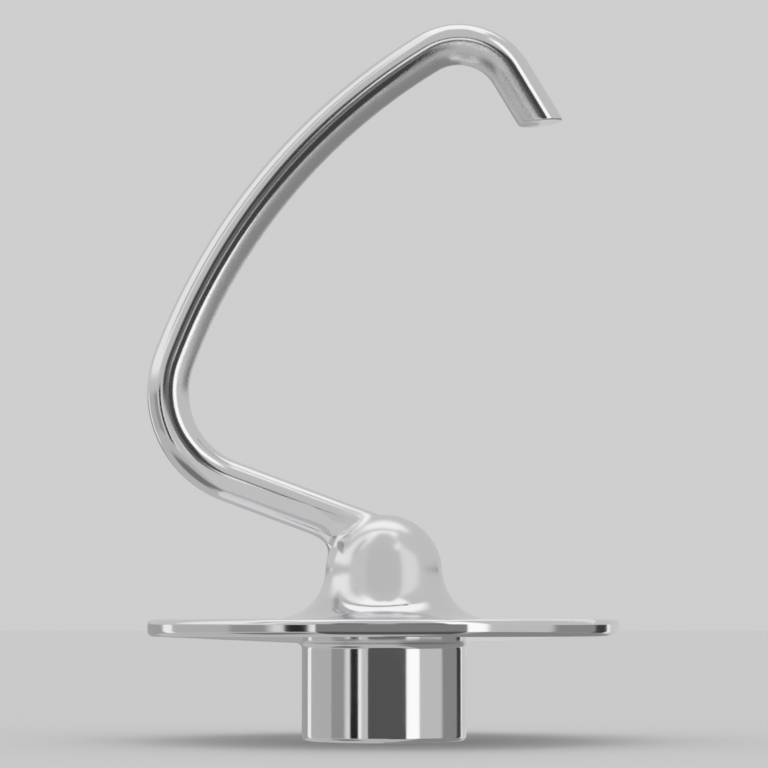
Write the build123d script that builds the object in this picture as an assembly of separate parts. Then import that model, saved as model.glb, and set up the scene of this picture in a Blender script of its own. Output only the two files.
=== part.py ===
from build123d import *

import os
from math import asin, cos, degrees, radians, sin, sqrt, tan

# C-shaped dough hook for a stand mixer, standing upside down on its hub.
#
# Millimetres, +Z up. The origin is on the axis of the drive bore, in the plane of the rim that the
# hook stands on. The arm lies in the XZ plane: it leaves the boss towards -X and its tip ends over +X.
# Every piece is stainless steel. The pieces are welded together, so nothing moves.

# Mixer shaft that the hook hangs from, with a cross pin that stands out on one side
shaft_diameter = 12.7
shaft_clearance = 0.1
pin_diameter = 4.8
pin_reach = 11.2  # from the shaft's axis to the end of the pin
pin_side_gap = 0.4
pin_end_gap = 1.15  # between the pin's end and the ring that it passes through

# Drive socket: a thick tube with a J-shaped slot for the pin, closed above by a spigot into the boss
bore_depth = 28.4
bore_chamfer = 0.6
socket_wall = 4.0
socket_recess = 0.6  # its mouth sits this far inside the hub's rim
socket_crown = 4.0  # solid metal past the end of the bore
spigot_wall = 2.4
slot_depth = 13.4  # from the socket's mouth to the far side of the slot
slot_turn = 90.0  # degrees from the entry to the seat
seat_drop = 1.6  # the pin rests this much nearer the mouth

# Hub: an outer sleeve round the socket, welded to a collar under the guard
hub_gap = 4.75  # between socket and sleeve
hub_wall = 2.2
hub_lip_round = 1.1
sleeve_length = 18.95
collar_length = 1.5
collar_fillet = 1.35
register_wall = 2.0  # ring under the guard that centres the sleeve
register_depth = 2.0

# Ring welded into the mouth of the sleeve, with a hole that the shaft and its pin pass through
end_ring_thickness = 2.2
end_ring_recess = 0.8
end_ring_ledge = 0.4  # width of the ledge in the sleeve that the ring is set against

# Dough guard: a flat disc with a rounded rim and a slightly coned underside
guard_diameter = 100.0
rim_thickness = 3.5
rim_round = 1.2
underside_cone = 2.6  # degrees, the underside drops towards the hub

# Boss: a dome that flares out into the top of the guard
dome_radius = 12.4
boss_height = 22.25
boss_flare = 11.0

# Arm: a round bar with a straight root, three tangent bends and a straight leg
bar_radius = 4.45
root_slope = 20.5  # degrees above the guard
root_drop = 0.42  # the bar's upper side passes this far under the top of the dome
root_run = 14.6  # from the welded joint to the elbow
elbow_radius = 20.4
elbow_turn = 89.7
back_radius = 130.9
back_turn = 38.2
crown_radius = 13.0
crown_turn = 90.75
tip_height = 106.5  # from the guard to the middle of the tip
tip_slope = 6.0  # degrees, the cut rises away from the axis
tip_round = 0.45

# Welded joint between the arm and the boss: a stub on the casting, a spigot on the bar
stub_run = 8.1  # the stub ends this far outside the dome
stub_fillet = 3.5
arm_spigot_radius = 2.5
arm_spigot_length = 7.0

fit_gap = 0.05  # all round what slips into a seat before it is welded

# Worked out from the inside of the hub to its outside
bore_radius = shaft_diameter / 2 + shaft_clearance
slot_width = pin_diameter + 2 * pin_side_gap
socket_radius = bore_radius + socket_wall
socket_spigot_radius = bore_radius + spigot_wall
hub_bore = socket_radius + hub_gap
hub_radius = hub_bore + hub_wall
guard_radius = guard_diameter / 2

# Worked out from the hub's rim upwards
bore_end_z = socket_recess + bore_depth
socket_top_z = bore_end_z + socket_crown
end_ring_top_z = end_ring_recess + end_ring_thickness
shoulder_z = sleeve_length  # the collar, the sleeve's end and the socket's shoulder meet in this plane
collar_z = shoulder_z + collar_length
rim_low_z = collar_z + (guard_radius - hub_radius) * tan(radians(underside_cone))
guard_top_z = rim_low_z + rim_thickness
boss_top_z = guard_top_z + boss_height
tip_z = guard_top_z + tip_height

# Distances along the arm's root, from the boss's axis
root_height = boss_top_z - root_drop - bar_radius / cos(radians(root_slope))
stub_length = dome_radius + stub_run

# Outlines are drawn in XY with Y as the height, then stood up into XZ
stand_up = Rot(X=90)
root_direction = Vector(-cos(radians(root_slope)), sin(radians(root_slope)))
root_origin = Vector(0, root_height)


def turned(outline):
    """Solid of revolution about Z from an outline of radius and height."""
    return stand_up * revolve(outline, Axis.Y)


def tube(inner, outer, low, high):
    """Plain ring, or a disc where inner is 0."""
    width = outer - inner
    section = Pos(inner + width / 2, (low + high) / 2) * Rectangle(width, high - low)
    return turned(section)


def edges_at(shape, radius, height):
    """The round edges of a turned shape at this radius and height."""
    near = 1e-3
    circles = shape.edges().filter_by(GeomType.CIRCLE)
    return circles.filter_by(
        lambda e: abs(e.radius - radius) < near and abs(e.arc_center.Z - height) < near
    )


def root_rod(radius, start, end):
    """Rod along the arm's root, between two distances from the boss's axis."""
    place = Plane(origin=root_origin + root_direction * start, z_dir=root_direction)
    rod = Cylinder(radius, end - start, align=(Align.CENTER, Align.CENTER, Align.MIN))
    return stand_up * (place * rod)


def guard_disc():
    """Guard with its rounded rim, coned underside and the collar that the sleeve is welded to."""
    outline = make_face(
        Polyline(
            (0, shoulder_z),
            (hub_radius, shoulder_z),
            (hub_radius, collar_z),
            (guard_radius, rim_low_z),
            (guard_radius, guard_top_z),
            (0, guard_top_z),
            close=True,
        )
    )
    disc = turned(outline)
    rim = edges_at(disc, guard_radius, rim_low_z) + edges_at(disc, guard_radius, guard_top_z)
    disc = fillet(rim, rim_round)
    return fillet(edges_at(disc, hub_radius, collar_z), min(collar_fillet, 0.9 * collar_length))


def boss():
    """Dome whose foot flares out, tangent to the top of the guard, and runs down into the guard."""
    dome_z = boss_top_z - dome_radius
    flare_z = guard_top_z + boss_flare
    reach = dome_radius + boss_flare
    flare_r = sqrt(reach**2 - (flare_z - dome_z) ** 2)
    lean = degrees(asin((flare_z - dome_z) / reach))
    flare = CenterArc((flare_r, flare_z), boss_flare, -90, lean - 90)
    dome = CenterArc((0, dome_z), dome_radius, lean, 90 - lean)
    middle_z = guard_top_z - rim_thickness / 2
    foot = Polyline(dome @ 1, (0, middle_z), (flare_r, middle_z), flare @ 0)
    return turned(make_face(Curve() + [flare, dome, foot]))


def guard_casting():
    """Guard, boss and the arm's stub in one piece, with the seats for the socket and the arm's spigot."""
    body = guard_disc() + boss()
    stub = root_rod(bar_radius, 0, stub_length)
    body += stub
    curves = body.edges().filter_by(GeomType.BSPLINE)
    seam = curves.filter_by(lambda e: e.bounding_box().min.Z > guard_top_z)
    body = body.fillet(stub_fillet, seam)
    register_outer = hub_bore - fit_gap
    body += tube(register_outer - register_wall, register_outer, shoulder_z - register_depth, shoulder_z)
    body -= tube(0, socket_spigot_radius + fit_gap, shoulder_z, socket_top_z + fit_gap)
    spigot_seat = stub_length - arm_spigot_length - fit_gap
    return body - root_rod(arm_spigot_radius + fit_gap, spigot_seat, stub_length)


def hook_arm():
    """Bent bar with its tip cut nearly level and a spigot at its root."""
    root_start = root_origin + root_direction * stub_length
    root = Line(root_start, root_start + root_direction * root_run)
    elbow = JernArc(root @ 1, root % 1, elbow_radius, -elbow_turn)
    back = JernArc(elbow @ 1, elbow % 1, back_radius, -back_turn)
    crown = JernArc(back @ 1, back % 1, crown_radius, -crown_turn)
    leg_direction = crown % 1
    tip = crown @ 1 + leg_direction * ((tip_z - (crown @ 1).Y) / leg_direction.Y)
    spare = 2 * bar_radius
    leg = Line(crown @ 1, tip + leg_direction * spare)
    section = Plane(origin=root @ 0, z_dir=root % 0) * Circle(bar_radius)
    bar = sweep(section, path=Wire([root, elbow, back, crown, leg]))
    under_tip = Box(4 * spare, 4 * spare, 4 * spare, align=(Align.CENTER, Align.MAX, Align.CENTER))
    bar -= Pos(tip) * Rot(Z=tip_slope) * under_tip
    cut_face = bar.faces().filter_by(GeomType.PLANE).sort_by_distance(tip)[0]
    bar = fillet(cut_face.edges(), tip_round)
    return stand_up * bar + root_rod(arm_spigot_radius, stub_length - arm_spigot_length, stub_length)


def hub_sleeve():
    """Outer tube of the hub: rounded outside at the rim, with a ledge inside for the end ring."""
    sleeve = tube(hub_bore, hub_radius, 0, sleeve_length)
    sleeve = fillet(edges_at(sleeve, hub_radius, 0), hub_lip_round)
    return sleeve - tube(0, hub_bore + end_ring_ledge, 0, end_ring_top_z)


def pin_path():
    """What the pin sweeps: in from the mouth at +X, round to +Y, then back a little to its seat."""
    reach = socket_radius + hub_gap
    top_z = socket_recess + slot_depth
    low_z = top_z - slot_width

    def straight(low):
        from_axis = (Align.MIN, Align.CENTER, Align.MIN)
        return Pos(0, 0, low) * Box(reach, slot_width, top_z - low, align=from_axis)

    outline = Pos(reach / 2, (low_z + top_z) / 2) * Rectangle(reach, slot_width)
    swept = stand_up * revolve(outline, Axis.Y, slot_turn)
    return straight(0) + swept + Rot(Z=slot_turn) * straight(low_z - seat_drop)


def shaft_socket():
    """Turned socket with a blind bore, the pin's slot through its wall and a spigot into the boss."""
    body = tube(0, socket_radius, socket_recess, shoulder_z)
    body += tube(0, socket_spigot_radius, shoulder_z, socket_top_z)
    body -= tube(0, bore_radius, socket_recess, bore_end_z)
    body = chamfer(edges_at(body, bore_radius, socket_recess), bore_chamfer)
    return body - (pin_path() - tube(0, bore_radius / 2, 0, socket_top_z))


def hub_end_ring():
    """Flat ring inside the mouth of the sleeve, clear of the pin all the way round."""
    outer = hub_bore + end_ring_ledge - fit_gap
    return tube(pin_reach + pin_end_gap, outer, end_ring_recess, end_ring_top_z)


def main():
    os.makedirs("parts", exist_ok=True)
    for piece in (hook_arm, guard_casting, hub_sleeve, shaft_socket, hub_end_ring):
        export_step(piece(), f"parts/{piece.__name__}.step")


if __name__ == "__main__":
    main()
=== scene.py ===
"""Looks of the C-shaped dough hook: fine polished-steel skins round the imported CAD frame.

Lengths are in millimetres until a mesh, light or camera is made, which is in metres.
The hook stands upside down on its hub. Its arm lies in the XZ plane.
"""

import bpy
import numpy as np
from math import asin, cos, pi, radians, sin, sqrt, tan
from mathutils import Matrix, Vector


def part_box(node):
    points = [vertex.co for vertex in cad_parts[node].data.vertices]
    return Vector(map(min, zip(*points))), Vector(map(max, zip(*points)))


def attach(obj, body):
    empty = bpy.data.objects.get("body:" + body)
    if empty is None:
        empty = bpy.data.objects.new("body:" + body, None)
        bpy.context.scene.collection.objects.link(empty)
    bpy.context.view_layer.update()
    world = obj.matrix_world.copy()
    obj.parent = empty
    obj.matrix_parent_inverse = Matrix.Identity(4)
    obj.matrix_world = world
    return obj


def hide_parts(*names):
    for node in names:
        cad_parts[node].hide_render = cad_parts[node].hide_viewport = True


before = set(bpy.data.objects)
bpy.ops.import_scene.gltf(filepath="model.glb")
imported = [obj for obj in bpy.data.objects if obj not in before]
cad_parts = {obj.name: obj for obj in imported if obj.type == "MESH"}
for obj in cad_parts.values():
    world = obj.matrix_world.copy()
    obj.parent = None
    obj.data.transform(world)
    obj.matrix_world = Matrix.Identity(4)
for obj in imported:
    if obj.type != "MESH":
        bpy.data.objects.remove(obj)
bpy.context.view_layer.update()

MM = 0.001


def box_mm(node):
    """Lowest and highest corner of a CAD node, in millimetres."""
    low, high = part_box(node)
    return low / MM, high / MM


# Sizes that the frame gives
guard_radius = box_mm("guard_casting")[1].x
hub_radius = box_mm("hub_sleeve")[1].x
sleeve_top = box_mm("hub_sleeve")[1].z
end_ring_top = box_mm("hub_end_ring")[1].z
end_ring_radius = box_mm("hub_end_ring")[1].x
register_low = box_mm("guard_casting")[0].z
socket_top = box_mm("shaft_socket")[1].z
bar_radius = box_mm("hook_arm")[1].y

# Driving sizes of the design that the boxes don't show
collar_length = 1.5
collar_fillet = 1.35
hub_wall = 2.2
hub_lip_round = 1.1
register_wall = 2.0
spigot_seat_radius = 8.9
fit_gap = 0.05
rim_thickness = 3.5
rim_round = 1.2
underside_cone = radians(2.6)
dome_radius = 12.4
boss_height = 22.25
boss_flare = 11.0
root_slope = radians(20.5)
root_drop = 0.42
root_run = 14.6
stub_run = 8.1
elbow_radius = 20.4
elbow_turn = 89.7
back_radius = 130.9
back_turn = 38.2
crown_radius = 13.0
crown_turn = 90.75
tip_height = 106.5
tip_slope = radians(6.0)
tip_round = 0.45
arm_spigot_radius = 2.5
arm_spigot_length = 7.0
stub_blend = 3.6  # radius of the soft corner where the stub leaves the boss

# Worked out from those, from the hub's rim upwards
hub_bore = hub_radius - hub_wall
collar_top = sleeve_top + collar_length
rim_low = collar_top + (guard_radius - hub_radius) * tan(underside_cone)
guard_top = rim_low + rim_thickness
boss_top = guard_top + boss_height
dome_z = boss_top - dome_radius
flare_z = guard_top + boss_flare
flare_r = sqrt((dome_radius + boss_flare) ** 2 - (flare_z - dome_z) ** 2)
root_z = boss_top - root_drop - bar_radius / cos(root_slope)
tip_z = guard_top + tip_height
stub_length = dome_radius + stub_run

# The arm's root in the XZ plane
ROOT = np.array([0.0, root_z])
ROOT_AIM = np.array([-cos(root_slope), sin(root_slope)])
STUB_END = ROOT + ROOT_AIM * stub_length

AROUND = 144  # points round every ring of the casting and the sleeve
ARM_AROUND = 120  # points round every ring of the arm
ARM_STEP = 0.55  # between rings along the arm
TIP_BLEND = 9.0  # length over which the arm's rings lean to match the cut tip
TIP_BLEND_RINGS = 18
LIP_RINGS = 9  # over the rounded edge of the cut
CUT_RINGS = (0.12, 0.3, 0.55, 0.8)  # on the cut face, as shares of the way to its middle
SHARP = radians(32)  # edges sharper than this aren't shaded smooth

# The casting's rings are level up to this share of the flare. From there they lean, until they
# are square with the stub
LEVEL_SHARE = 0.73
LEANING_RINGS = 130
PATH_POINTS = 2001  # points that the leaning rings' centres are looked up in
SURFACE_STEPS = 160  # steps from a ring's centre out to the surface
SURFACE_STRIDE = 0.9  # of the distance left, at each step
TINY = 1e-9  # keeps a length that is divided by off zero


# ---------------------------------------------------------------- outlines


def run(start, end, count):
    """Points of a straight run, closer together at its ends, without its last point."""
    share = (1 - np.cos(np.linspace(0, pi, count + 1)))[:-1, None] / 2
    return np.array(start) * (1 - share) + np.array(end) * share


def arc(centre, radius, start, end, count):
    """Points of an arc between two angles in radians, without its last point."""
    angle = np.linspace(start, end, count + 1)[:-1]
    return np.stack([centre[0] + radius * np.cos(angle), centre[1] + radius * np.sin(angle)], 1)


def spun(outline, around):
    """Rings about Z from an outline of radius and height."""
    angle = np.arange(around) * 2 * pi / around
    x = outline[:, 0, None] * np.cos(angle)
    y = outline[:, 0, None] * np.sin(angle)
    return np.stack([x, y, np.repeat(outline[:, 1, None], around, 1)], 2)


# ---------------------------------------------------------------- meshes


def skin(name, rings, first=None, last=None, looped=False, marks=None):
    """Mesh object through rings of points, closed by a point at each end or looped on itself."""
    count, around = rings.shape[:2]
    points = rings.reshape(-1, 3)
    faces = []
    for i in range(count if looped else count - 1):
        j = (i + 1) % count
        for k in range(around):
            m = (k + 1) % around
            faces.append((i * around + k, i * around + m, j * around + m, j * around + k))
    poles = []
    for pole, ring in ((first, 0), (last, count - 1)):
        if pole is None:
            continue
        tip = len(points) + len(poles)
        poles.append(pole)
        for k in range(around):
            edge = (ring * around + (k + 1) % around, ring * around + k)
            faces.append((tip, *(edge if ring == 0 else edge[::-1])))
    if poles:
        points = np.vstack([points, poles])
    mesh = bpy.data.meshes.new(name)
    mesh.from_pydata((points * MM).tolist(), [], faces)
    for label, values in (marks or {}).items():
        flat = values.reshape(count * around, -1)
        padded = np.vstack([flat, np.zeros((len(poles), flat.shape[1]))]).astype(np.float32)
        kind, field = ("FLOAT", "value") if flat.shape[1] == 1 else ("FLOAT_VECTOR", "vector")
        mesh.attributes.new(label, kind, "POINT").data.foreach_set(field, padded.reshape(-1))
    obj = bpy.data.objects.new(name, mesh)
    bpy.context.scene.collection.objects.link(obj)
    face_out(mesh)
    mesh.shade_smooth()
    mesh.set_sharp_from_angle(angle=SHARP)
    return obj


def face_out(mesh):
    """Turns every face outwards, going by the sign of the enclosed volume."""
    mesh.calc_loop_triangles()
    volume = 0.0
    for t in mesh.loop_triangles:
        a, b, c = (mesh.vertices[v].co for v in t.vertices)
        volume += a.dot(b.cross(c))
    if volume < 0:
        mesh.flip_normals()
    mesh.update()


# ---------------------------------------------------------------- guard casting


def casting_outline():
    """Radius and height from the top of the socket's seat, round the guard and onto its flat top."""
    seat_top = socket_top + fit_gap
    register_outer = hub_bore - fit_gap
    register_inner = register_outer - register_wall
    fillet_z = collar_top + collar_fillet * (tan(underside_cone) - 1 / cos(underside_cone))
    rim_r = guard_radius - rim_round
    cone_z = collar_top + (rim_r - hub_radius) * tan(underside_cone)
    low_z = cone_z + rim_round / cos(underside_cone)
    cone_start = (
        hub_radius + collar_fillet * (1 - sin(underside_cone)),
        fillet_z + collar_fillet * cos(underside_cone),
    )
    cone_end = (rim_r + rim_round * sin(underside_cone), low_z - rim_round * cos(underside_cone))
    pieces = [
        run((spigot_seat_radius, seat_top), (spigot_seat_radius, sleeve_top), 10),
        run((spigot_seat_radius, sleeve_top), (register_inner, sleeve_top), 6),
        run((register_inner, sleeve_top), (register_inner, register_low), 4),
        run((register_inner, register_low), (register_outer, register_low), 4),
        run((register_outer, register_low), (register_outer, sleeve_top), 4),
        run((register_outer, sleeve_top), (hub_radius, sleeve_top), 4),
        run((hub_radius, sleeve_top), (hub_radius, fillet_z), 2),
        arc((hub_radius + collar_fillet, fillet_z), collar_fillet, pi, pi / 2 + underside_cone, 14),
        run(cone_start, cone_end, 40),
        arc((rim_r, low_z), rim_round, underside_cone - pi / 2, 0, 12),
        run((guard_radius, low_z), (guard_radius, guard_top - rim_round), 6),
        arc((rim_r, guard_top - rim_round), rim_round, 0, pi / 2, 12),
        run((rim_r, guard_top), (flare_r, guard_top), 40),
    ]
    return np.vstack(pieces)


def flare_cut():
    """Angle on the flare's circle, and height, where the level rings give way to the leaning ones."""
    cut_z = guard_top + LEVEL_SHARE * boss_flare
    return -pi - asin((cut_z - flare_z) / boss_flare), cut_z


def steel_depth(p):
    """Signed distance from points to the boss and stub as one blended body, below 0 inside."""
    radius = np.hypot(p[..., 0], p[..., 1])
    z = p[..., 2]
    dome_r, dome_h = radius, z - dome_z
    dome_far = np.hypot(dome_r, dome_h)
    flare_out, flare_h = flare_r - radius, flare_z - z
    flare_far = np.hypot(flare_out, flare_h)
    on_dome = dome_h * flare_r > dome_r * (flare_z - dome_z)
    boss = np.where(on_dome, dome_far - dome_radius, boss_flare - flare_far)
    out = np.where(on_dome, dome_r / dome_far, flare_out / flare_far)
    up = np.where(on_dome, dome_h / dome_far, flare_h / flare_far)
    safe = np.maximum(radius, TINY)
    boss_way = np.stack([out * p[..., 0] / safe, out * p[..., 1] / safe, up], -1)

    aim = np.array([ROOT_AIM[0], 0, ROOT_AIM[1]])
    start = np.array([ROOT[0], 0, ROOT[1]])
    along = np.maximum((p - start) @ aim, 0)
    off = p - start - along[..., None] * aim
    bar_far = np.maximum(np.linalg.norm(off, axis=-1), TINY)
    bar = bar_far - bar_radius
    bar_way = off / bar_far[..., None]

    # Cubic blend, narrower where the two surfaces face nearly the same way
    meet = np.clip((boss_way * bar_way).sum(-1), -1, 1)
    reach = 6 * stub_blend * (1 - np.sqrt((1 + meet) / 2)) + 1e-6
    near = np.maximum(reach - np.abs(boss - bar), 0) / reach
    return np.minimum(boss, bar) - near**3 * reach / 6


def leaning_rings(cut_z):
    """Rings that turn from level to square with the stub, hinged where those two planes meet."""
    lean_end = pi / 2 - root_slope
    hinge_x = STUB_END[0] + (cut_z - STUB_END[1]) / tan(lean_end)
    hinge = np.array([hinge_x, cut_z])
    foot = np.array([0, cut_z])
    share = np.linspace(0, 1, PATH_POINTS)[:, None]
    centres = (1 - share) ** 2 * foot + 2 * share * (1 - share) * ROOT + share**2 * STUB_END
    leans = np.arctan2(centres[:, 1] - hinge[1], centres[:, 0] - hinge[0])
    angle = np.arange(AROUND) * 2 * pi / AROUND
    rings = []
    for lean in np.linspace(0, lean_end, LEANING_RINGS):
        x, z = (np.interp(lean, leans, centres[:, i]) for i in (0, 1))
        centre = np.array([x, 0, z])
        rays = np.cos(angle)[:, None] * np.array([cos(lean), 0, sin(lean)])
        rays[:, 1] += np.sin(angle)
        far = np.zeros(AROUND)
        for _ in range(SURFACE_STEPS):
            far -= SURFACE_STRIDE * steel_depth(centre + far[:, None] * rays)
        rings.append(centre + far[:, None] * rays)
    return np.array(rings)


def guard_casting():
    """Guard, boss and stub in one skin, with the seats that the socket and the arm's spigot fill."""
    flare_end, cut_z = flare_cut()
    flare = arc((flare_r, flare_z), boss_flare, -pi / 2, flare_end, 44)
    level = spun(np.vstack([casting_outline(), flare]), AROUND)
    aim = np.array([ROOT_AIM[0], 0, ROOT_AIM[1]])
    end = np.array([STUB_END[0], 0, STUB_END[1]])
    angle = np.arange(AROUND) * 2 * pi / AROUND
    across = np.cos(angle)[:, None] * np.array([sin(root_slope), 0, cos(root_slope)])
    across[:, 1] += np.sin(angle)
    seat_r = arm_spigot_radius + fit_gap
    seat = [end + seat_r * across - depth * aim for depth in (0, arm_spigot_length + fit_gap)]
    rings = np.vstack([level, leaning_rings(cut_z), seat])
    top = (0, 0, socket_top + fit_gap)
    bottom = end - aim * (arm_spigot_length + fit_gap)
    return skin("guard_casting_skin", rings, first=top, last=bottom)


# ---------------------------------------------------------------- arm


def arm_line(step):
    """Points, headings and distances along the arm's centre line, from the stub to the tip."""
    point, heading = STUB_END.copy(), pi - root_slope
    points, headings = [point.copy()], [heading]

    def straight(length):
        nonlocal point
        count = max(2, round(length / step))
        aim = np.array([cos(heading), sin(heading)])
        for i in range(1, count + 1):
            points.append(point + aim * length * i / count)
            headings.append(heading)
        point = points[-1]

    def bend(radius, turn):
        nonlocal point, heading
        count = max(2, round(radius * radians(turn) / step))
        centre = point + radius * np.array([sin(heading), -cos(heading)])
        for i in range(1, count + 1):
            now = heading - radians(turn) * i / count
            points.append(centre + radius * np.array([-sin(now), cos(now)]))
            headings.append(now)
        point, heading = points[-1], headings[-1]

    straight(root_run)
    bend(elbow_radius, elbow_turn)
    bend(back_radius, back_turn)
    bend(crown_radius, crown_turn)
    straight((tip_z - point[1]) / sin(heading))
    points, headings = np.array(points), np.array(headings)
    along = np.concatenate([[0], np.cumsum(np.hypot(*np.diff(points, axis=0).T))])
    return points, headings, along


def lift(points):
    """Points of the XZ plane as points in space."""
    return np.stack([points[..., 0], np.zeros(points.shape[:-1]), points[..., 1]], -1)


def hook_arm():
    """Bent bar from its spigot to its cut tip, with marks that say where the brushed side is."""
    points, headings, along = arm_line(ARM_STEP)
    angle = np.arange(ARM_AROUND) * 2 * pi / ARM_AROUND
    inner = lift(np.stack([np.sin(headings), -np.cos(headings)], 1))
    aim = lift(np.stack([np.cos(headings), np.sin(headings)], 1))

    def ring_way(i):
        way = np.cos(angle)[:, None] * inner[i]
        way[:, 1] += np.sin(angle)
        return way

    end_aim, end_way = aim[-1], ring_way(-1)
    tip = lift(points[-1])
    cut = np.array([-sin(tip_slope), 0, cos(tip_slope)])  # square to the cut, pointing back up the arm
    shear = -bar_radius * (end_way @ cut) / (end_aim @ cut)
    turn = np.arccos(np.clip(-(end_way @ cut), -1, 1))
    inset = tip_round * np.tan(turn / 2)
    corner = tip + bar_radius * end_way + shear[:, None] * end_aim

    last = along[-1] - TIP_BLEND
    start = lift(points[0])
    spigot_foot = start + arm_spigot_radius * ring_way(0)
    spigot = [spigot_foot - depth * aim[0] for depth in (arm_spigot_length, 0)]
    body = [lift(points[i]) + bar_radius * ring_way(i) for i in range(len(points)) if along[i] <= last]
    distances = [-arm_spigot_length, 0.0] + [a for a in along if a <= last]
    base = along[len(body) - 1]
    foot = body[-1]
    edge = corner - inset[:, None] * end_aim
    for share in np.linspace(0, 1, TIP_BLEND_RINGS)[1:-1]:
        body.append(foot * (1 - share) + edge * share)
        distances.append(base + share * TIP_BLEND)
    inward = tip - corner
    width = np.linalg.norm(inward, axis=1)
    lip = corner + inward * (inset / width)[:, None]
    for share in np.linspace(0, 1, LIP_RINGS):
        body.append((1 - share) ** 2 * edge + 2 * share * (1 - share) * corner + share**2 * lip)
        distances.append(along[-1])
    for share in CUT_RINGS:
        body.append(lip * (1 - share) + tip * share)
        distances.append(along[-1])
    rings = np.array(spigot + body)
    marks = {
        "along": np.repeat(np.array(distances)[:, None], ARM_AROUND, 1),
        "side": np.repeat(np.cos(angle)[None], len(rings), 0),
        "around": np.repeat(np.sin(angle)[None], len(rings), 0),
        "grain_across": np.roll(rings, -1, 1) - np.roll(rings, 1, 1),
    }
    spigot_end = start - aim[0] * arm_spigot_length
    return skin("hook_arm_skin", rings, first=spigot_end, last=tip, marks=marks)


# ---------------------------------------------------------------- hub sleeve


def hub_sleeve():
    """Thin tube with a rounded outer lip and a ledge inside for the end ring."""
    ledge = end_ring_radius + fit_gap
    pieces = [
        run((hub_bore, sleeve_top), (hub_bore, end_ring_top), 12),
        run((hub_bore, end_ring_top), (ledge, end_ring_top), 3),
        run((ledge, end_ring_top), (ledge, 0), 5),
        run((ledge, 0), (hub_radius - hub_lip_round, 0), 5),
        arc((hub_radius - hub_lip_round, hub_lip_round), hub_lip_round, -pi / 2, 0, 12),
        run((hub_radius, hub_lip_round), (hub_radius, sleeve_top), 30),
        run((hub_radius, sleeve_top), (hub_bore, sleeve_top), 4),
    ]
    return skin("hub_sleeve_skin", spun(np.vstack(pieces), AROUND), looped=True)


# ---------------------------------------------------------------- materials


class Nodes:
    """Short calls for the nodes of one tree."""

    def __init__(self, tree):
        self.tree = tree
        tree.nodes.clear()

    def add(self, kind, **settings):
        node = self.tree.nodes.new(kind)
        for key, value in settings.items():
            setattr(node, key, value)
        return node

    def link(self, out, socket):
        self.tree.links.new(out, socket)

    def feed(self, socket, value):
        if isinstance(value, (int, float)):
            socket.default_value = value
        else:
            self.link(value, socket)

    def math(self, operation, a, b=0.0):
        node = self.add("ShaderNodeMath", operation=operation)
        self.feed(node.inputs[0], a)
        self.feed(node.inputs[1], b)
        return node.outputs[0]

    def ramp(self, value, low, high, out_low=0.0, out_high=1.0):
        node = self.add("ShaderNodeMapRange", interpolation_type="SMOOTHSTEP")
        for socket, v in zip(node.inputs, (value, low, high, out_low, out_high)):
            self.feed(socket, v)
        return node.outputs[0]

    def mix(self, share, a, b):
        node = self.add("ShaderNodeMix", data_type="FLOAT")
        for socket, v in zip(node.inputs[:4], (share, None, a, b)):
            if v is not None:
                self.feed(socket, v)
        return node.outputs[0]

    def noise(self, vector, scale, detail, roughness=0.5):
        node = self.add("ShaderNodeTexNoise")
        node.inputs["Scale"].default_value = scale
        node.inputs["Detail"].default_value = detail
        node.inputs["Roughness"].default_value = roughness
        self.link(vector, node.inputs["Vector"])
        return node.outputs["Fac"]

    def mark(self, name):
        return self.add("ShaderNodeAttribute", attribute_name=name).outputs["Fac"]

    def place(self, x, y, z):
        node = self.add("ShaderNodeCombineXYZ")
        for socket, v in zip(node.inputs, (x, y, z)):
            self.feed(socket, v)
        return node.outputs[0]

    def parts(self, vector):
        """X, Y and Z of a vector."""
        node = self.add("ShaderNodeSeparateXYZ")
        self.link(vector, node.inputs[0])
        return node.outputs

    def times(self, a, b):
        return self.math("MULTIPLY", a, b)

    def length(self, a, b):
        """Length of a vector with these two parts."""
        return self.math("SQRT", self.math("ADD", self.times(a, a), self.times(b, b)))

    def bump(self, shader, height, strength):
        node = self.add("ShaderNodeBump")
        node.inputs["Distance"].default_value = BUMP_DEPTH
        self.feed(node.inputs["Strength"], strength)
        self.link(height, node.inputs["Height"])
        self.link(node.outputs[0], shader.inputs["Normal"])


STEEL = (0.80, 0.80, 0.81, 1.0)
WORN_STEEL = (0.66, 0.665, 0.68, 1.0)
BUMP_DEPTH = 0.02 * MM

# Lowest and highest roughness of each finish
MIRROR = (0.07, 0.12)
CIRCULAR_FINISH = (0.15, 0.23)
BOSS_SATIN = (0.20, 0.28)
ARM_MIRROR = (0.09, 0.13)
ARM_SATIN = (0.20, 0.34)
LATHE_FINISH = (0.22, 0.38)

# Where the casting's finishes begin and end, in millimetres
BOSS_SATIN_Z = (28.2, 31.0)  # satin fades in over these heights
BESIDE_STUB_X = (-11.0, -6.0)  # and over these, going away from the stub
UNDER_STUB = (20.0, 25.0)  # but under the stub it goes on while X and Z add up to less than this
TOP_FACE_DEPTH = (0.3, 0.1)  # below the guard's flat top
TOP_FINISH_RADIUS = (20.0, 26.0)
TOP_FINISH_SCALE = 2500.0  # turns metres from the axis into the noise's own units
LATHE_SCALE = 6000.0

# Distances along the arm from its joint, in millimetres, over which the satin side widens
ELBOW_SATIN = (30.0, 44.0)
CROWN_SATIN = (118.0, 142.0)


def steel(name, colour):
    """A metal material with its nodes, its shader, and the shader's output linked."""
    material = bpy.data.materials.new(name)
    material.use_nodes = True
    nodes = Nodes(material.node_tree)
    shader = nodes.add("ShaderNodeBsdfPrincipled")
    shader.inputs["Base Color"].default_value = colour
    shader.inputs["Metallic"].default_value = 1.0
    output = nodes.add("ShaderNodeOutputMaterial")
    nodes.link(shader.outputs[0], output.inputs["Surface"])
    return material, nodes, shader


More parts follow.
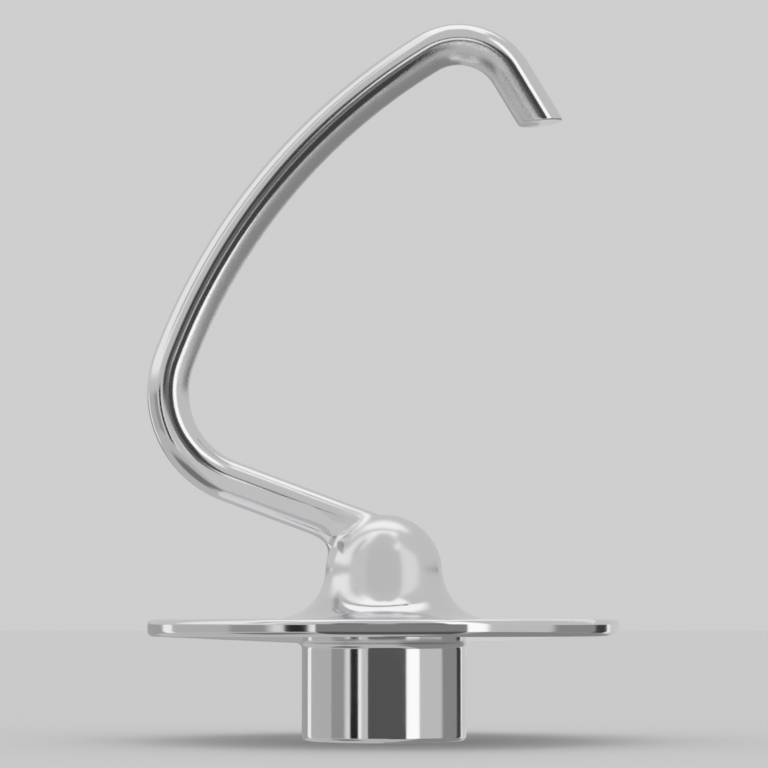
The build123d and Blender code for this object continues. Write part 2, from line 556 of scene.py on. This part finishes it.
def polished_steel(satin_boss=False):
    """Mirror polish with faint haze and a slight waviness left by the buffing wheel."""
    material, nodes, shader = steel("casting_steel" if satin_boss else "hub_steel", STEEL)
    where = nodes.add("ShaderNodeTexCoord").outputs["Object"]
    roughness = nodes.ramp(nodes.noise(where, 90, detail=4), 0.35, 0.75, *MIRROR)
    if satin_boss:
        roughness = casting_finish(nodes, where, roughness)
    nodes.link(roughness, shader.inputs["Roughness"])
    nodes.bump(shader, nodes.noise(where, 120, detail=1), 0.25)
    return material


def casting_finish(nodes, where, polish):
    """Roughness with a fine circular finish on the guard's flat top and a cloudy satin on the boss."""
    x, y, z = nodes.parts(where)
    radius = nodes.length(x, y)
    rings = nodes.noise(nodes.place(nodes.times(radius, TOP_FINISH_SCALE), 0.0, 0.0), 1.0, detail=4)
    circular = nodes.ramp(rings, 0.3, 0.7, *CIRCULAR_FINISH)
    on_top = nodes.ramp(z, *((guard_top - depth) * MM for depth in TOP_FACE_DEPTH))
    outside = nodes.ramp(radius, *(r * MM for r in TOP_FINISH_RADIUS))
    finish = nodes.mix(nodes.times(on_top, outside), polish, circular)

    cloud = nodes.ramp(nodes.noise(where, 60, detail=5), 0.3, 0.7, *BOSS_SATIN)
    above = nodes.ramp(z, *(h * MM for h in BOSS_SATIN_Z))
    beside = nodes.ramp(x, *(d * MM for d in BESIDE_STUB_X))
    under = nodes.ramp(nodes.math("ADD", z, x), *(d * MM for d in UNDER_STUB), 1.0, 0.0)
    on_boss = nodes.times(above, nodes.math("MAXIMUM", beside, under))
    return nodes.mix(on_boss, finish, cloud)


def arm_steel():
    """Mirror polish outside the bends, and a fine satin finish along the inner side and the leg."""
    material, nodes, shader = steel("arm_steel", STEEL)
    along = nodes.mark("along")
    side = nodes.mark("side")  # 1 on the inner side of the bends, -1 on the outer
    around = nodes.mark("around")

    def skin_place(length_scale, round_scale):
        """Place on the bar's skin, for noise that is drawn out along the bar."""
        return nodes.place(
            nodes.times(along, length_scale),
            nodes.times(side, round_scale),
            nodes.times(around, round_scale),
        )

    ragged = nodes.noise(skin_place(0.35, 1.0), 4, detail=6, roughness=0.7)
    shift = nodes.times(nodes.math("SUBTRACT", ragged, 0.5), 0.35)
    from_elbow = nodes.ramp(along, *ELBOW_SATIN, 1.05, 0.42)
    from_crown = nodes.ramp(along, *CROWN_SATIN, 0.0, -0.40)
    limit = nodes.math("ADD", from_elbow, from_crown)
    over = nodes.math("SUBTRACT", nodes.math("ADD", side, shift), limit)
    satin = nodes.ramp(over, -0.04, 0.12)

    streaks = nodes.noise(skin_place(0.09, 18.0), 1.0, detail=5, roughness=0.6)
    grain = nodes.noise(skin_place(0.16, 4.5), 3.0, detail=6, roughness=0.7)
    mirror = nodes.ramp(grain, 0.3, 0.8, *ARM_MIRROR)
    matt = nodes.ramp(grain, 0.3, 0.7, *ARM_SATIN)
    nodes.link(nodes.mix(satin, mirror, matt), shader.inputs["Roughness"])
    shader.inputs["Anisotropic"].default_value = 0.75
    across = nodes.add("ShaderNodeAttribute", attribute_name="grain_across")
    nodes.link(across.outputs["Vector"], shader.inputs["Tangent"])
    height = nodes.math("ADD", nodes.times(streaks, 0.6), nodes.times(grain, 0.4))
    nodes.bump(shader, height, nodes.mix(satin, 0.05, 0.8))
    return material


def turned_steel():
    """Steel as the lathe leaves it: fine rings about the axis and a satin sheen."""
    material, nodes, shader = steel("turned_steel", WORN_STEEL)
    x, y, z = nodes.parts(nodes.add("ShaderNodeTexCoord").outputs["Object"])
    radius = nodes.length(x, y)
    place = nodes.place(nodes.times(radius, LATHE_SCALE), nodes.times(z, LATHE_SCALE), 0.0)
    rings = nodes.noise(place, 1.0, detail=3)
    nodes.link(nodes.ramp(rings, 0.3, 0.7, *LATHE_FINISH), shader.inputs["Roughness"])
    nodes.bump(shader, rings, 0.5)
    return material


def dress(obj, material):
    obj.data.materials.clear()
    obj.data.materials.append(material)


# ---------------------------------------------------------------- studio

# Cards of the studio as the steel sees them: bearing from the camera's side, positive to the
# right, and height above the horizon, in degrees; softness of the edges; brightness
CARDS = [
    ("overhead", -200, 200, 55, 95, 6, 1.10),
    ("table", -200, 200, -95, -16, 6, 0.54),
    ("table_right", 48, 200, -78, -16, 5, 0.28),
    ("table_left_dark", -90, -42, -58, -30, 5, 0.20),
    ("side_left", -122, -55, 12, 70, 4, 0.95),
    ("side_left_line", -74, -64, 25, 60, 3, 0.40),
    ("side_right", 52, 117, 12, 70, 3, 0.62),
    ("low_back_left", -200, -134, -16, 4, 3, 0.38),
    ("low_line_back_left", -134, -123, -16, 4, 1, 1.00),
    ("low_far_left", -123, -79, -16, 4, 2, 0.50),
    ("low_left", -79, -57, -16, 4, 2, 0.33),
    ("low_left_light", -54, -48, -16, 4, 0.8, 0.78),
    ("low_left_dark", -48, -36, -16, 10, 0.8, 0.02),
    ("low_left_line", -36, -31, -16, 10, 0.7, 1.00),
    ("front_low", -31, 31, -16, 8, 2, 0.62),
    ("front_top", -48, 48, 6, 83, 2, 0.60),
    ("dark_upper", -25, 33, 3, 30, 2.5, 0.055),
    ("dark_right", 6, 33, -24, 12, 1.5, 0.055),
    ("strip_middle", -8, 6, -12, 25, 1.5, 1.00),
    ("strip_break", -12, 9, 3, 15, 1.5, 0.14),
    ("strip_right", 31, 51, -16, 55, 1, 1.20),
    ("low_right", 51, 89, -16, 4, 2, 0.60),
    ("low_far_right", 89, 122, -16, 4, 3, 0.28),
    ("low_dark_right", 122, 137, -16, 4, 3, 0.05),
    ("low_line_right", 137, 142, -16, 4, 0.8, 1.00),
    ("low_back_right", 142, 200, -16, 4, 3, 0.65),
]
BASE_LIGHT = 0.62  # between the cards
BACKGROUND = 0.62  # behind the hook, as the camera sees it

# Upright cards close in front of the hook, which only the steel sees: Y, left, right, low and high
# in millimetres; brightness
NEAR_CARDS = [
    ("boss_card", -30, -20, 20, 27, 62, 0.58),
    ("boss_card_left", -23, -48, -12, 26, 60, 0.64),
    ("boss_card_right", -23, 12, 48, 26, 62, 0.82),
    ("hub_card", -60, -21, 27, -12, 20, 0.10),
    ("rim_card", -60, -21, 27, 20, 28, 0.24),
]

CAMERA_PLACE = (0, -607.2, 23.55)
CAMERA_TILT = radians(4.9)
LENS = 133.7
SENSOR = 36.0
FLOOR_SIZE = 60  # metres


def band(nodes, value, low, high, soft):
    """1 between two limits and 0 outside them, with soft edges."""
    rise = nodes.ramp(value, low - soft, low + soft)
    fall = nodes.ramp(value, high - soft, high + soft, 1.0, 0.0)
    return nodes.times(rise, fall)


def studio():
    """World that the steel reflects, with a plain pale background for the camera."""
    world = bpy.data.worlds.new("studio")
    world.use_nodes = True
    bpy.context.scene.world = world
    nodes = Nodes(world.node_tree)
    x, y, z = nodes.parts(nodes.add("ShaderNodeTexCoord").outputs["Generated"])
    to_degrees = 180 / pi
    bearing = nodes.times(nodes.math("ARCTAN2", x, nodes.times(y, -1.0)), to_degrees)
    height = nodes.times(nodes.math("ARCSINE", z), to_degrees)
    light = BASE_LIGHT
    for _, left, right, low, high, soft, brightness in CARDS:
        across = band(nodes, bearing, left, right, soft)
        upright = band(nodes, height, low, high, soft)
        light = nodes.mix(nodes.times(across, upright), light, brightness)
    seen = nodes.add("ShaderNodeLightPath").outputs["Is Camera Ray"]
    background = nodes.add("ShaderNodeBackground")
    nodes.link(nodes.mix(seen, light, BACKGROUND), background.inputs["Color"])
    output = nodes.add("ShaderNodeOutputWorld")
    nodes.link(background.outputs[0], output.inputs["Surface"])


def floor():
    """Plain pale floor. The steel reflects the studio's table card instead of it."""
    bpy.ops.mesh.primitive_plane_add(size=FLOOR_SIZE)
    plane = bpy.context.object
    plane.name = "floor"
    material = bpy.data.materials.new("floor_paint")
    material.use_nodes = True
    shader = material.node_tree.nodes["Principled BSDF"]
    shader.inputs["Base Color"].default_value = (0.78, 0.78, 0.78, 1)
    shader.inputs["Roughness"].default_value = 0.9
    plane.data.materials.append(material)
    plane.visible_glossy = False


def near_card(name, y, left, right, low, high, brightness):
    """Glowing upright card, seen in reflections only."""
    mesh = bpy.data.meshes.new(name)
    corners = ((left, low), (right, low), (right, high), (left, high))
    mesh.from_pydata([(x * MM, y * MM, z * MM) for x, z in corners], [], [(0, 1, 2, 3)])
    obj = bpy.data.objects.new(name, mesh)
    bpy.context.scene.collection.objects.link(obj)
    material = bpy.data.materials.new(name + "_glow")
    material.use_nodes = True
    nodes = Nodes(material.node_tree)
    glow = nodes.add("ShaderNodeEmission")
    glow.inputs["Strength"].default_value = brightness
    output = nodes.add("ShaderNodeOutputMaterial")
    nodes.link(glow.outputs[0], output.inputs["Surface"])
    mesh.materials.append(material)
    obj.visible_camera = False
    obj.visible_diffuse = False
    obj.visible_shadow = False


def camera():
    """Camera level with the guard's rim, 0.6 m in front of the hook and tilted up to frame it."""
    data = bpy.data.cameras.new("camera")
    data.lens = LENS
    data.sensor_width = SENSOR
    obj = bpy.data.objects.new("camera", data)
    bpy.context.scene.collection.objects.link(obj)
    obj.location = Vector(CAMERA_PLACE) * MM
    obj.rotation_euler = (pi / 2 + CAMERA_TILT, 0, 0)
    data.clip_start = 0.01
    bpy.context.scene.camera = obj


def main():
    materials = {
        "guard_casting": polished_steel(satin_boss=True),
        "hub_sleeve": polished_steel(),
        "hook_arm": arm_steel(),
    }
    for make in (guard_casting, hub_sleeve, hook_arm):
        node = make.__name__
        obj = make()
        dress(obj, materials[node])
        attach(obj, "root")
        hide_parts(node)
    lathe = turned_steel()
    for node in ("shaft_socket", "hub_end_ring"):
        dress(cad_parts[node], lathe)
    studio()
    floor()
    for row in NEAR_CARDS:
        near_card(*row)
    camera()
    bpy.context.scene.view_settings.view_transform = "Standard"


main()
